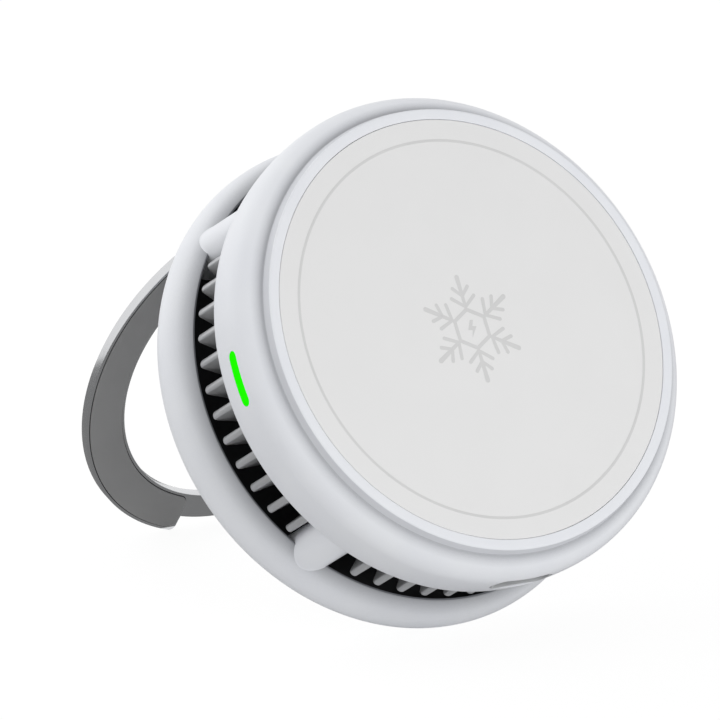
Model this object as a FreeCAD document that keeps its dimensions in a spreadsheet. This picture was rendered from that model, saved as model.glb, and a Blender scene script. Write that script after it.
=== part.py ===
# Cooling wireless charger: a magnetic charging disc with a thermoelectric cooler, a finned heat
# sink, a fan and a folding ring stand. Lengths are millimetres, angles are degrees.
#
# Every piece is drawn in the charger's own axes: X to the right, Y up the charging face and Z out
# of it, with the origin in the middle of the face. A depth is counted back from the face, so a
# depth d is at z = -d. At the end the charger leans back on its lower rim and its open stand ring.

import FreeCAD, Part
import math
import os
import types

import Sketcher
from FreeCAD import Placement, Rotation, Vector

# Driving sizes

driving_sizes = {
    # charging face
    "plate_radius": 28.0,
    "plate_thickness": 1.3,
    "plate_gap": 0.06,
    # front shell
    "face_rim_width": 1.34,
    "valley_depth": 1.3,
    "valley_width": 0.28,
    "shoulder_width": 2.68,
    "rim_depth": 5.0,
    "skirt_inset": 0.73,
    "skirt_overlap": 0.57,
    "shell_wall": 1.3,
    "deck_thickness": 1.0,
    # charge light
    "light_length": 7.3,
    "light_height": 1.66,
    "light_board_gap": 1.45,
    "light_gap": 0.04,
    # power inlet
    "port_width": 8.94,
    "port_height": 3.16,
    "port_wall": 0.3,
    "port_length": 7.2,
    "port_magnet_gap": 0.47,
    "port_recess": 0.35,
    "port_gap": 0.12,
    "tongue_side_gap": 0.82,
    "tongue_height": 0.7,
    "tongue_setback": 1.0,
    # magnets, coil and cold side
    "stack_gap": 0.1,
    "stack_radius": 21.8,
    "magnet_width": 4.4,
    "magnet_stack_gap": 0.8,
    "magnet_height": 1.6,
    "magnet_count": 18,
    "magnet_gap_angle": 2.0,
    "coil_inner_radius": 8.5,
    "coil_margin": 1.8,
    "coil_height": 1.0,
    "ferrite_height": 0.6,
    "cold_plate_height": 1.0,
    "cooler_side": 23.0,
    "cooler_height": 3.2,
    "ceramic_height": 0.7,
    "pellet_side": 1.9,
    "pellet_rows": 5,
    "foam_width": 2.0,
    "foam_gap": 0.3,
    # circuit board
    "board_foam_gap": 0.48,
    "board_shell_gap": 0.73,
    "board_thickness": 1.0,
    "board_start_angle": 160.0,
    "board_end_angle": 290.0,
    "controller_side": 5.0,
    "controller_height": 1.0,
    "controller_angle": 222.0,
    "inductor_side": 4.0,
    "inductor_height": 2.0,
    "inductor_angle": 200.0,
    "driver_side": 4.0,
    "driver_height": 0.8,
    "driver_angle": 245.0,
    "emitter_edge_gap": 1.2,
    "emitter_side": 1.6,
    "emitter_height": 1.2,
    # heat sink
    "sink_gap": 0.33,
    "sink_base_height": 1.4,
    "fin_count": 54,
    "fin_thickness": 1.05,
    "fin_length": 12.0,
    "fin_skew": 14.0,
    "fin_phase": 2.92,
    "fin_end_gap": 0.54,
    "fin_nose_length": 0.4,
    "fin_nose_width": 0.4,
    "fin_corner": 1.0,
    # rear shell
    "vent_height": 7.74,
    "lip_inset": 2.4,
    "lip_land": 0.3,
    "rear_height": 8.46,
    "back_land": 2.15,
    "back_round": 3.8,
    "post_radius": 2.95,
    "post_inset": 0.28,
    "post_gap": 0.3,
    "duct_radius": 18.3,
    "duct_wall": 0.8,
    # fan
    "hub_radius": 8.6,
    "hub_wall": 0.8,
    "hub_grille_gap": 0.5,
    "hub_height": 4.7,
    "blade_count": 9,
    "blade_tip_gap": 0.5,
    "blade_thickness": 0.7,
    "blade_hub_inset": 0.3,
    "blade_chord": 4.4,
    "blade_bow_radius": 9.0,
    "shaft_radius": 0.75,
    "shaft_running_gap": 0.03,
    "fan_gap": 0.4,
    "tube_radius": 2.6,
    "pole_count": 6,
    "stator_height": 2.2,
    "stator_gap": 0.6,
    "pole_width": 1.1,
    "shoe_height": 0.8,
    "shoe_width": 5.0,
    "winding_thickness": 0.6,
    # intake grille
    "grille_thickness": 1.3,
    "grille_gap": 0.02,
    "grille_hub_inset": 1.0,
    "grille_rim_width": 1.4,
    "slot_count": 20,
    "slot_share": 0.55,
    "slot_sweep": 26.0,
    # ring stand
    "ring_radius": 26.1,
    "ring_width": 5.7,
    "ring_thickness": 1.3,
    "ring_gap": 0.35,
    "ring_floor_gap": 0.2,
    "notch_depth": 2.25,
    "notch_angle": 31.0,
    "ring_corner": 0.8,
    "pad_inset": 0.5,
    "pad_height": 0.2,
    "pad_corner": 1.2,
    "ring_back_inset": 0.3,
    "hinge_rise": 2.5,
    "hinge_inset": 0.45,
    "knuckle_radius": 1.1,
    "knuckle_width": 8.4,
    "knuckle_side_gap": 0.2,
    "hinge_gap": 0.25,
    "pin_radius": 0.6,
    "pin_hold": 3.2,
    "pin_running_gap": 0.04,
    "stand_open_angle": 53.1,
}

doc = FreeCAD.newDocument("cooling_wireless_charger")
sheet = doc.addObject("Spreadsheet::Sheet", "sizes")
for row, (alias, number) in enumerate(driving_sizes.items(), start=1):
    sheet.set(f"A{row}", alias)
    sheet.set(f"B{row}", str(number))
    sheet.setAlias(f"B{row}", alias)
doc.recompute()


class Size:
    """A number and the sheet expression that gives it, kept together through arithmetic."""

    def __init__(self, value, text):
        self.value = float(value)
        self.text = text

    def __add__(self, other):
        other = as_size(other)
        return Size(self.value + other.value, f"({self.text} + {other.text})")

    def __sub__(self, other):
        other = as_size(other)
        return Size(self.value - other.value, f"({self.text} - {other.text})")

    def __mul__(self, other):
        other = as_size(other)
        return Size(self.value * other.value, f"({self.text} * {other.text})")

    def __truediv__(self, other):
        other = as_size(other)
        return Size(self.value / other.value, f"({self.text} / {other.text})")

    def __neg__(self):
        return Size(-self.value, f"(-1 * {self.text})")

    def __radd__(self, other):
        return as_size(other) + self

    def __rsub__(self, other):
        return as_size(other) - self

    def __rmul__(self, other):
        return as_size(other) * self

    def __rtruediv__(self, other):
        return as_size(other) / self


def as_size(number):
    if isinstance(number, Size):
        return number
    return Size(number, f"({number})")


def root(number):
    return Size(math.sqrt(number.value), f"sqrt({number.text})")


def cosine(angle):
    angle = as_size(angle)
    return Size(math.cos(math.radians(angle.value)), f"cos({angle.text})")


def sine(angle):
    angle = as_size(angle)
    return Size(math.sin(math.radians(angle.value)), f"sin({angle.text})")


def arcsine(number):
    return Size(math.degrees(math.asin(number.value)), f"asin({number.text})")


def at_angle(radius, angle):
    return radius * cosine(angle), radius * sine(angle)


def arc_radius(across, along):
    # Radius of the arc that leaves its start square on and is `across` off line after `along`.
    return (across * across + along * along) / (2 * across)


size = types.SimpleNamespace(**{name: Size(value, f"sizes.{name}") for name, value in driving_sizes.items()})

# Ways of drawing and making


def bind(item, prop, number):
    number = as_size(number)
    setattr(item, prop, number.value)
    item.setExpression(prop, number.text)


def new_body(label):
    body = doc.addObject("PartDesign::Body", label)
    body.Label = label
    body.AllowCompound = True
    return body


def origin_part(body, role):
    return next(part for part in body.Origin.OriginFeatures if part.Role == role)


class Drawing:
    """A sketch on one of its body's origin planes, with every point held by sheet expressions.

    The plane can be lifted along its normal and turned about its upright axis.
    """

    def __init__(self, body, name, plane, lift=0, turn=0):
        self.sketch = body.newObject("Sketcher::SketchObject", name)
        self.sketch.AttachmentSupport = (origin_part(body, plane), "")
        self.sketch.MapMode = "FlatFace"
        turn = as_size(turn)
        aside, ahead = lift * sine(turn), lift * cosine(turn)
        self.sketch.AttachmentOffset = Placement(
            Vector(aside.value, 0, ahead.value), Rotation(Vector(0, 1, 0), turn.value))
        self.sketch.setExpression("AttachmentOffset.Base.x", aside.text)
        self.sketch.setExpression("AttachmentOffset.Base.z", ahead.text)
        self.sketch.setExpression("AttachmentOffset.Rotation.Angle", turn.text)

    def hold(self, kind, *where_and_size):
        *where, number = where_and_size
        number = as_size(number)
        index = self.sketch.addConstraint(Sketcher.Constraint(kind, *where, number.value))
        self.sketch.setExpression(f"Constraints[{index}]", number.text)

    def hold_point(self, edge, end, x, y):
        self.hold("DistanceX", -1, 1, edge, end, x)
        self.hold("DistanceY", -1, 1, edge, end, y)

    def circle(self, x, y, radius):
        x, y, radius = as_size(x), as_size(y), as_size(radius)
        centre = Vector(x.value, y.value, 0)
        edge = self.sketch.addGeometry(Part.Circle(centre, Vector(0, 0, 1), radius.value), False)
        self.hold("Radius", edge, radius)
        self.hold_point(edge, 3, x, y)
        return self

    def outline(self, *corners):
        # A corner is (x, y), or (x, y, r) where an arc of radius r leads to the next corner:
        # a positive r turns left and a negative one right.
        points = [Vector(as_size(c[0]).value, as_size(c[1]).value, 0) for c in corners]
        ends = []
        for number, corner in enumerate(corners):
            start, finish = points[number], points[(number + 1) % len(corners)]
            if len(corner) == 2:
                edge = self.sketch.addGeometry(Part.LineSegment(start, finish), False)
                ends.append((edge, 1, 2))
                continue
            turn = as_size(corner[2])
            edge = self.sketch.addGeometry(arc_between(start, finish, turn.value), False)
            ends.append((edge, 1, 2) if turn.value > 0 else (edge, 2, 1))
        for number, (edge, start_end, finish_end) in enumerate(ends):
            following, following_start, _ = ends[(number + 1) % len(ends)]
            self.sketch.addConstraint(
                Sketcher.Constraint("Coincident", edge, finish_end, following, following_start))
        for (edge, start_end, _), corner in zip(ends, corners):
            self.hold_point(edge, start_end, corner[0], corner[1])
            if len(corner) == 3:
                turn = as_size(corner[2])
                self.hold("Radius", edge, turn if turn.value > 0 else -turn)
        return self

    def pill(self, start, finish, radius):
        # A straight slot shape with round ends about the two given points.
        (ax, ay), (bx, by), radius = start, finish, as_size(radius)
        ax, ay, bx, by = as_size(ax), as_size(ay), as_size(bx), as_size(by)
        a, b = Vector(ax.value, ay.value, 0), Vector(bx.value, by.value, 0)
        side = (b - a).cross(Vector(0, 0, 1)).normalize() * radius.value
        lean = math.atan2(side.y, side.x)
        first = self.sketch.addGeometry(Part.LineSegment(a + side, b + side), False)
        far = self.sketch.addGeometry(arc_about(b, radius.value, lean), False)
        second = self.sketch.addGeometry(Part.LineSegment(b - side, a - side), False)
        near = self.sketch.addGeometry(arc_about(a, radius.value, lean + math.pi), False)
        for edge, nxt in ((first, far), (far, second), (second, near), (near, first)):
            self.sketch.addConstraint(Sketcher.Constraint("Tangent", edge, 2, nxt, 1))
        self.hold_point(far, 3, bx, by)
        self.hold_point(near, 3, ax, ay)
        self.hold("Radius", far, radius)
        self.sketch.addConstraint(Sketcher.Constraint("Equal", far, near))
        return self


def arc_about(centre, radius, start_angle):
    circle = Part.Circle(centre, Vector(0, 0, 1), radius)
    return Part.ArcOfCircle(circle, start_angle, start_angle + math.pi)


def arc_between(start, finish, turn):
    chord = finish - start
    rise = math.sqrt(turn * turn - chord.Length ** 2 / 4)
    left = Vector(0, 0, 1).cross(chord).normalize()
    centre = (start + finish) / 2 + left * math.copysign(rise, turn)
    if turn < 0:
        start, finish = finish, start
    first_angle = math.atan2(start.y - centre.y, start.x - centre.x)
    last_angle = math.atan2(finish.y - centre.y, finish.x - centre.x)
    if last_angle < first_angle:
        last_angle += 2 * math.pi
    circle = Part.Circle(centre, Vector(0, 0, 1), abs(turn))
    return Part.ArcOfCircle(circle, first_angle, last_angle)


def turned(body, name, corners, kind="Revolution", plane="XZ_Plane", angle=360, about_plane=False):
    drawing = Drawing(body, f"{name}_outline", plane).outline(*corners)
    feature = body.newObject(f"PartDesign::{kind}", name)
    feature.Profile = drawing.sketch
    feature.ReferenceAxis = (drawing.sketch, ["V_Axis"])
    bind(feature, "Angle", angle)
    feature.Midplane = about_plane
    drawing.sketch.Visibility = False
    return feature


def padded(body, name, drawing, length):
    feature = body.newObject("PartDesign::Pad", name)
    feature.Profile = drawing.sketch
    bind(feature, "Length", length)
    return feature


def cut(body, name, drawing, length):
    # Cuts back from the sketch, against its normal.
    feature = body.newObject("PartDesign::Pocket", name)
    feature.Profile = drawing.sketch
    bind(feature, "Length", length)
    return feature


def repeated(body, name, features, count):
    pattern = body.newObject("PartDesign::PolarPattern", name)
    pattern.Originals = features
    pattern.Axis = (origin_part(body, "Z_Axis"), [""])
    pattern.Angle = 360
    pattern.Occurrences = int(as_size(count).value)
    if isinstance(count, Size):
        pattern.setExpression("Occurrences", count.text)
    body.Tip = pattern
    return pattern


def disc(body, name, radius, front, back, x=0, y=0):
    # A round pad or column between two depths.
    return padded(body, name, Drawing(body, f"{name}_outline", "XY_Plane", -back).circle(x, y, radius),
                  back - front)


def round_cut(body, name, radius, front, back, x=0, y=0):
    return cut(body, name, Drawing(body, f"{name}_outline", "XY_Plane", -front).circle(x, y, radius),
               back - front)


def rounded(body, name, radius, wanted):
    # Rounds those edges of the body so far that stand upright and that `wanted` picks by their foot.
    doc.recompute()
    tip = body.Tip
    names = []
    for number, edge in enumerate(tip.Shape.Edges, start=1):
        upright = len(edge.Vertexes) == 2 and abs(edge.tangentAt(edge.FirstParameter).z) > 0.999
        if upright and wanted(min((v.Point for v in edge.Vertexes), key=lambda point: point.z)):
            names.append(f"Edge{number}")
    fillet = body.newObject("PartDesign::Fillet", name)
    fillet.Base = (tip, names)
    bind(fillet, "Radius", radius)
    return fillet


def square(half, x=0, y=0):
    return (x - half, y - half), (x + half, y - half), (x + half, y + half), (x - half, y + half)


def octagon(radius):
    step = 360 / octagon_corners
    return [at_angle(radius, step * corner + step / 2) for corner in range(octagon_corners)]


def curve(x, y, radius, sweep, steps):
    # Corners along an arc that starts upright at (x, y) and bends inward through the sweep. A
    # positive sweep climbs. Short straight runs keep the turned shells light.
    corners = []
    for step in range(1, steps + 1):
        inward, along = at_angle(radius, sweep * step / steps)
        corners.append((x - radius + inward, y + along))
    return corners


# Sizes that follow from the driving ones

post_angle = 45
octagon_corners = 8
plate_hole_radius = size.plate_radius + size.plate_gap
face_rim_radius = plate_hole_radius + size.face_rim_width
valley_radius = face_rim_radius + size.valley_width
rim_radius = valley_radius + size.shoulder_width
skirt_radius = rim_radius - size.skirt_inset
deck_back = size.plate_thickness + size.deck_thickness
deck_hole_radius = size.stack_radius + size.stack_gap
shoulder_height = size.rim_depth - size.valley_depth
shoulder_radius = arc_radius(size.shoulder_width, shoulder_height)
shoulder_sweep = arcsine(shoulder_height / shoulder_radius)
inner_rim_radius = rim_radius - size.shell_wall
skirt_hole_radius = skirt_radius - size.shell_wall

coil_front = size.plate_thickness + size.stack_gap
ferrite_front = coil_front + size.coil_height
cold_plate_front = ferrite_front + size.ferrite_height
cooler_front = cold_plate_front + size.cold_plate_height
cooler_back = cooler_front + size.cooler_height
coil_outer_radius = size.stack_radius - size.coil_margin
magnet_inner_radius = size.stack_radius + size.magnet_stack_gap
magnet_outer_radius = magnet_inner_radius + size.magnet_width
foam_side = size.cooler_side + 2 * (size.foam_gap + size.foam_width)
board_inner_radius = foam_side / root(as_size(2)) + size.board_foam_gap
board_radius = skirt_hole_radius - size.board_shell_gap
chip_radius = (board_inner_radius + board_radius) / 2
emitter_radius = board_radius - size.emitter_edge_gap - size.emitter_side / 2
port_depth = deck_back + size.magnet_height + size.port_magnet_gap + size.port_height / 2
board_front = port_depth + size.port_height / 2
light_depth = board_front - size.light_board_gap
sink_depth = board_front + size.board_thickness
sink_base_back = sink_depth + size.sink_base_height
sink_radius = skirt_hole_radius - size.sink_gap
skirt_depth = sink_base_back + size.skirt_overlap
barrel_height = skirt_depth - size.rim_depth
barrel_radius = arc_radius(size.skirt_inset, barrel_height)
barrel_sweep = -arcsine(barrel_height / barrel_radius)

ring_hole_radius = size.ring_radius - size.ring_width
notch_radius = size.ring_radius - size.notch_depth
recess_radius = size.ring_radius + size.ring_gap
rear_rim_radius = recess_radius + size.back_land + size.back_round
lip_radius = rear_rim_radius - size.lip_inset
lip_depth = skirt_depth + size.vent_height
back_depth = lip_depth + size.rear_height
fin_end_depth = lip_depth - size.fin_end_gap
rear_rim_depth = back_depth - size.back_round
flank_height = rear_rim_depth - lip_depth
flank_radius = arc_radius(size.lip_inset - size.lip_land, flank_height)
flank_sweep = arcsine(flank_height / flank_radius)
ring_front = back_depth - size.ring_back_inset - size.ring_thickness
hinge_depth = ring_front + size.hinge_inset
hinge_height = recess_radius + size.hinge_rise
pin_length = size.knuckle_width + 2 * (size.knuckle_side_gap + size.pin_hold)
recess_floor = ring_front - size.pad_height - size.ring_floor_gap
floor_front = recess_floor - size.shell_wall

grille_front = recess_floor - size.grille_thickness
hub_back = grille_front - size.hub_grille_gap
hub_depth = hub_back - size.hub_height
tube_front = hub_depth + size.hub_wall + size.fan_gap
shaft_hole_radius = size.shaft_radius + size.shaft_running_gap
stator_back = grille_front - size.fan_gap
stator_front = stator_back - size.stator_height
stator_radius = size.hub_radius - size.hub_wall - size.stator_gap
post_circle_radius = skirt_radius - size.post_inset - size.post_radius
post_x, post_y = at_angle(post_circle_radius, post_angle)

# Charging face


def make_face_plate():
    disc(new_body("face_plate"), "plate", size.plate_radius, 0, size.plate_thickness)


def make_front_shell():
    body = new_body("front_shell")
    shoulder = curve(rim_radius, -size.rim_depth, shoulder_radius, shoulder_sweep, 4)
    barrel = curve(rim_radius, -size.rim_depth, barrel_radius, barrel_sweep, 2)
    turned(body, "shell", [
        (0, -size.plate_thickness),
        (plate_hole_radius, -size.plate_thickness),
        (plate_hole_radius, 0),
        (face_rim_radius, 0),
        *reversed(shoulder),
        (rim_radius, -size.rim_depth),
        *barrel,
        (skirt_hole_radius, -skirt_depth),
        (inner_rim_radius, -size.rim_depth),
        (valley_radius, -deck_back),
        (0, -deck_back)])
    window = Drawing(body, "stack_window_outline", "XY_Plane", -size.plate_thickness)
    cut(body, "stack_window", window.outline(*octagon(deck_hole_radius)), size.deck_thickness)

    light_reach = (size.light_length - size.light_height) / 2
    light = Drawing(body, "light_slot_outline", "YZ_Plane", -skirt_hole_radius + size.shell_wall)
    light.pill((-light_reach, -light_depth), (light_reach, -light_depth),
               size.light_height / 2 + size.light_gap)
    cut(body, "light_slot", light, 3 * size.shell_wall)

    port_reach = (size.port_width - size.port_height) / 2
    port = Drawing(body, "port_hole_outline", "XZ_Plane", rim_radius + size.shell_wall)
    port.pill((-port_reach, -port_depth), (port_reach, -port_depth),
              size.port_height / 2 + size.port_gap)
    cut(body, "port_hole", port, 4 * size.shell_wall)


def make_light_pipe():
    body = new_body("light_pipe")
    reach = (size.light_length - size.light_height) / 2
    root_radius = skirt_hole_radius - size.stack_gap
    bar = Drawing(body, "bar_outline", "YZ_Plane", -rim_radius)
    bar.pill((-reach, -light_depth), (reach, -light_depth), size.light_height / 2)
    padded(body, "bar", bar, rim_radius - root_radius)
    # The outer face follows the shell's barrel.
    far = rim_radius + size.shell_wall
    turned(body, "face", [
        (rim_radius, -size.rim_depth),
        *curve(rim_radius, -size.rim_depth, barrel_radius, barrel_sweep, 2),
        (far, -skirt_depth),
        (far, -size.rim_depth)], kind="Groove")


# Power inlet


def make_port_shell():
    body = new_body("usb_c_shell")
    reach = (size.port_width - size.port_height) / 2
    mouth = rim_radius - size.port_recess
    centres = (-reach, -port_depth), (reach, -port_depth)
    outside = Drawing(body, "outside_outline", "XZ_Plane", mouth - size.port_length)
    padded(body, "outside", outside.pill(*centres, size.port_height / 2), size.port_length)
    inside = Drawing(body, "inside_outline", "XZ_Plane", mouth)
    cut(body, "inside", inside.pill(*centres, size.port_height / 2 - size.port_wall),
        size.port_length - size.port_wall)


def make_port_tongue():
    body = new_body("usb_c_tongue")
    back = rim_radius - size.port_recess - size.port_length + size.port_wall
    tongue = Drawing(body, "tongue_outline", "XZ_Plane", back)
    half_width = size.port_width / 2 - size.port_wall - size.tongue_side_gap
    half_height = size.tongue_height / 2
    tongue.outline(
        (-half_width, -port_depth - half_height),
        (half_width, -port_depth - half_height),
        (half_width, -port_depth + half_height),
        (-half_width, -port_depth + half_height))
    padded(body, "tongue", tongue, size.port_length - size.tongue_setback)


# Magnets, coil and cold side


def make_magnets():
    body = new_body("magnet_ring")
    half = 180 / size.magnet_count - size.magnet_gap_angle / 2
    outer, inner = magnet_outer_radius, magnet_inner_radius
    magnet = Drawing(body, "magnet_outline", "XY_Plane", -deck_back - size.magnet_height)
    magnet.outline(at_angle(outer, -half), at_angle(outer, half), at_angle(inner, half), at_angle(inner, -half))
    repeated(body, "magnets", [padded(body, "magnet", magnet, size.magnet_height)], size.magnet_count)


def make_charging_coil():
    body = new_body("charging_coil")
    coil_back = coil_front + size.coil_height
    turned(body, "coil", [
        (size.coil_inner_radius, -coil_front),
        (coil_outer_radius, -coil_front),
        (coil_outer_radius, -coil_back),
        (size.coil_inner_radius, -coil_back)])


def make_octagon_piece(label, front, height):
    body = new_body(label)
    sheet_drawing = Drawing(body, "sheet_outline", "XY_Plane", -front - height)
    padded(body, "sheet", sheet_drawing.outline(*octagon(size.stack_radius)), height)


def make_cooler():
    body = new_body("thermoelectric_module")
    half = size.cooler_side / 2
    pitch = (size.cooler_side - size.pellet_side) / size.pellet_rows
    first = -half + pitch / 2 + size.pellet_side / 2
    hot = Drawing(body, "hot_ceramic_outline", "XY_Plane", -cooler_back).outline(*square(half))
    padded(body, "hot_ceramic", hot, size.ceramic_height)
    cold = Drawing(body, "cold_ceramic_outline", "XY_Plane", -cooler_front - size.ceramic_height)
    pellet_height = size.cooler_height - 2 * size.ceramic_height
    pellet_half = size.pellet_side / 2
    pellet = Drawing(body, "pellet_outline", "XY_Plane", -cooler_back + size.ceramic_height)
    pellet.outline(
        (first - pellet_half, first - pellet_half),
        (first + pellet_half, first - pellet_half),
        (first + pellet_half, first + pellet_half),
        (first - pellet_half, first + pellet_half))
    block = padded(body, "pellet", pellet, pellet_height)
    grid = body.newObject("PartDesign::MultiTransform", "pellets")
    grid.Originals = [block]
    steps = []
    for role in ("X_Axis", "Y_Axis"):
        step = body.newObject("PartDesign::LinearPattern", f"pellets_along_{role[0].lower()}")
        step.Direction = (origin_part(body, role), [""])
        bind(step, "Length", pitch * (size.pellet_rows - 1))
        step.Occurrences = int(size.pellet_rows.value)
        step.setExpression("Occurrences", size.pellet_rows.text)
        steps.append(step)
    grid.Transformations = steps
    body.Tip = grid
    padded(body, "cold_ceramic", cold.outline(*square(half)), size.ceramic_height)


def make_foam_frame():
    body = new_body("foam_frame")
    height = sink_depth - cooler_front
    frame = Drawing(body, "frame_outline", "XY_Plane", -sink_depth)
    padded(body, "frame", frame.outline(*square(foam_side / 2)), height)
    hole = Drawing(body, "hole_outline", "XY_Plane", -cooler_front)
    cut(body, "hole", hole.outline(*square(size.cooler_side / 2 + size.foam_gap)), height)


def make_circuit_board():
    body = new_body("circuit_board")
    outer, inner = board_radius, board_inner_radius
    board = Drawing(body, "board_outline", "XY_Plane", -sink_depth)
    board.outline(
        (*at_angle(outer, size.board_start_angle), outer),
        at_angle(outer, size.board_end_angle),
        (*at_angle(inner, size.board_end_angle), -inner),
        at_angle(inner, size.board_start_angle))
    padded(body, "board", board, size.board_thickness)
    parts = {
        "controller": (chip_radius, size.controller_angle, size.controller_side, size.controller_height),
        "coil_driver": (chip_radius, size.driver_angle, size.driver_side, size.driver_height),
        "inductor": (chip_radius, size.inductor_angle, size.inductor_side, size.inductor_height),
        "light_emitter": (emitter_radius, 180, size.emitter_side, size.emitter_height),
    }
    for name, (radius, angle, side, height) in parts.items():
        part = Drawing(body, f"{name}_outline", "XY_Plane", -board_front)
        padded(body, name, part.outline(*square(side / 2, *at_angle(radius, angle))), height)


# Heat sink, the piece that takes the most skill: swept fins with blunt noses on a round base


def make_heat_sink():
    body = new_body("heat_sink")
    disc(body, "base", sink_radius, sink_depth, sink_base_back)
    block = Drawing(body, "cold_block_outline", "XY_Plane", -sink_depth)
    padded(body, "cold_block", block.outline(*square(size.cooler_side / 2)), sink_depth - cooler_back)

    # One fin: its blunt nose is on the sink's rim, and it runs inward along its own swept line.
    heading = size.fin_phase - size.fin_skew
    tip_along, tip_aside = at_angle(sink_radius, size.fin_skew)
    half, half_nose = size.fin_thickness / 2, size.fin_nose_width / 2
    neck = tip_along - size.fin_nose_length
    tail = tip_along - size.fin_length

    def placed(along, aside):
        across = tip_aside + aside
        return along * cosine(heading) - across * sine(heading), along * sine(heading) + across * cosine(heading)

    fin = Drawing(body, "fin_outline", "XY_Plane", -fin_end_depth)
    fin.outline(
        placed(tail, -half), placed(neck, -half), placed(tip_along, -half_nose),
        placed(tip_along, half_nose), placed(neck, half), placed(tail, half))
    fin_pad = padded(body, "fin", fin, fin_end_depth - sink_base_back)
    corner = Drawing(body, "fin_corner_outline", "XZ_Plane", -tip_aside, turn=heading)
    corner.outline(
        (tip_along - size.fin_corner, -fin_end_depth),
        (tip_along, -fin_end_depth + size.fin_corner),
        (tip_along + size.fin_corner, -fin_end_depth - size.fin_corner))
    corner_cut = cut(body, "fin_corner", corner, size.fin_thickness + 2 * size.stack_gap)
    corner_cut.Midplane = True
    repeated(body, "fins", [fin_pad, corner_cut], size.fin_count)
    room = round_cut(body, "post_room", size.post_radius + size.post_gap, sink_base_back, fin_end_depth,
                     post_x, post_y)
    repeated(body, "post_rooms", [room], 4)


# Rear shell


def make_rear_shell():
    body = new_body("rear_shell")
    flank = curve(rear_rim_radius, -rear_rim_depth, flank_radius, flank_sweep, 2)
    back_edge = curve(rear_rim_radius, -rear_rim_depth, size.back_round, -90, 3)
    duct_back_radius = size.duct_radius + size.duct_wall
    turned(body, "shell", [
        (lip_radius, -lip_depth),
        *reversed(flank),
        (rear_rim_radius, -rear_rim_depth),
        *back_edge,
        (recess_radius, -back_depth),
        (recess_radius, -recess_floor),
        (size.duct_radius, -recess_floor),
        (size.duct_radius, -fin_end_depth),
        (duct_back_radius, -fin_end_depth),
        (duct_back_radius, -floor_front),
        (rear_rim_radius - size.shell_wall, -floor_front)])
    post = disc(body, "post", size.post_radius, skirt_depth, floor_front + size.shell_wall / 2,
                post_x, post_y)
    repeated(body, "posts", [post], 4)

    knuckle_front = hinge_depth - size.knuckle_radius - size.hinge_gap
    half_room = size.knuckle_width / 2 + size.knuckle_side_gap
    room = Drawing(body, "knuckle_room_outline", "XY_Plane", -knuckle_front)
    room.outline(
        (-half_room, recess_radius - size.shell_wall), (half_room, recess_radius - size.shell_wall),
        (half_room, rear_rim_radius + size.shell_wall), (-half_room, rear_rim_radius + size.shell_wall))
    cut(body, "knuckle_room", room, back_depth - knuckle_front)
    pin = Drawing(body, "pin_hole_outline", "YZ_Plane", pin_length / 2)
    pin.circle(hinge_height, -hinge_depth, size.pin_radius)
    cut(body, "pin_hole", pin, pin_length)


# Fan


def make_stator_core():
    body = new_body("stator_core")
    disc(body, "yoke", size.tube_radius + size.pole_width, stator_front, stator_back)
    round_cut(body, "tube_hole", size.tube_radius, stator_front, stator_back)
    half, half_shoe = size.pole_width / 2, size.shoe_width / 2
    reach = root(stator_radius * stator_radius - half_shoe * half_shoe)
    neck = reach - size.shoe_height
    pole = Drawing(body, "pole_outline", "XY_Plane", -stator_back)
    pole.outline(
        (size.tube_radius + half, -half), (neck, -half), (neck, -half_shoe), (reach, -half_shoe),
        (reach, half_shoe), (neck, half_shoe), (neck, half), (size.tube_radius + half, half))
    repeated(body, "poles", [padded(body, "pole", pole, size.stator_height)], size.pole_count)


def make_stator_windings():
    body = new_body("stator_windings")
    half = size.pole_width / 2
    wide = half + size.winding_thickness
    half_shoe = size.shoe_width / 2
    neck = root(stator_radius * stator_radius - half_shoe * half_shoe) - size.shoe_height
    inner = size.tube_radius + size.pole_width + size.stack_gap
    outer = neck - size.stack_gap
    overhang = size.winding_thickness / 2
    coil = Drawing(body, "coil_outline", "XY_Plane", -stator_back - overhang)
    coil.outline((inner, -wide), (outer, -wide), (outer, wide), (inner, wide))
    winding = padded(body, "coil", coil, size.stator_height + 2 * overhang)
    room = Drawing(body, "arm_room_outline", "XY_Plane", -stator_front)
    room.outline((inner - half, -half), (outer + half, -half), (outer + half, half), (inner - half, half))
    room_cut = cut(body, "arm_room", room, size.stator_height)
    repeated(body, "coils", [winding, room_cut], size.pole_count)


def make_fan_impeller():
    body = new_body("fan_impeller")
    disc(body, "hub", size.hub_radius, hub_depth, hub_back)
    round_cut(body, "hub_room", size.hub_radius - size.hub_wall, hub_depth + size.hub_wall, hub_back)
    round_cut(body, "shaft_hole", size.shaft_radius, hub_depth, hub_back)
    # A blade is a bowed strip across the air's way; its tip corners stay inside the duct.
    middle = hub_depth + size.hub_height / 2
    half_height = size.hub_height / 2 - size.blade_hub_inset
    half_chord = size.blade_chord / 2
    tip_radius = size.duct_radius - size.blade_tip_gap
    start = size.hub_radius - size.hub_wall / 2
    reach = root(tip_radius * tip_radius - half_chord * half_chord)
    blade = Drawing(body, "blade_outline", "YZ_Plane", start)
    blade.outline(
        (-half_chord, -middle + half_height, -size.blade_bow_radius),
        (half_chord - size.blade_thickness, -middle - half_height),
        (half_chord, -middle - half_height, size.blade_bow_radius),
        (-half_chord + size.blade_thickness, -middle + half_height))
    repeated(body, "blades", [padded(body, "blade", blade, reach - start)], size.blade_count)


def make_fan_shaft():
    body = new_body("fan_shaft")
    disc(body, "shaft", size.shaft_radius, hub_depth, grille_front - size.stack_gap)


# Intake grille


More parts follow.
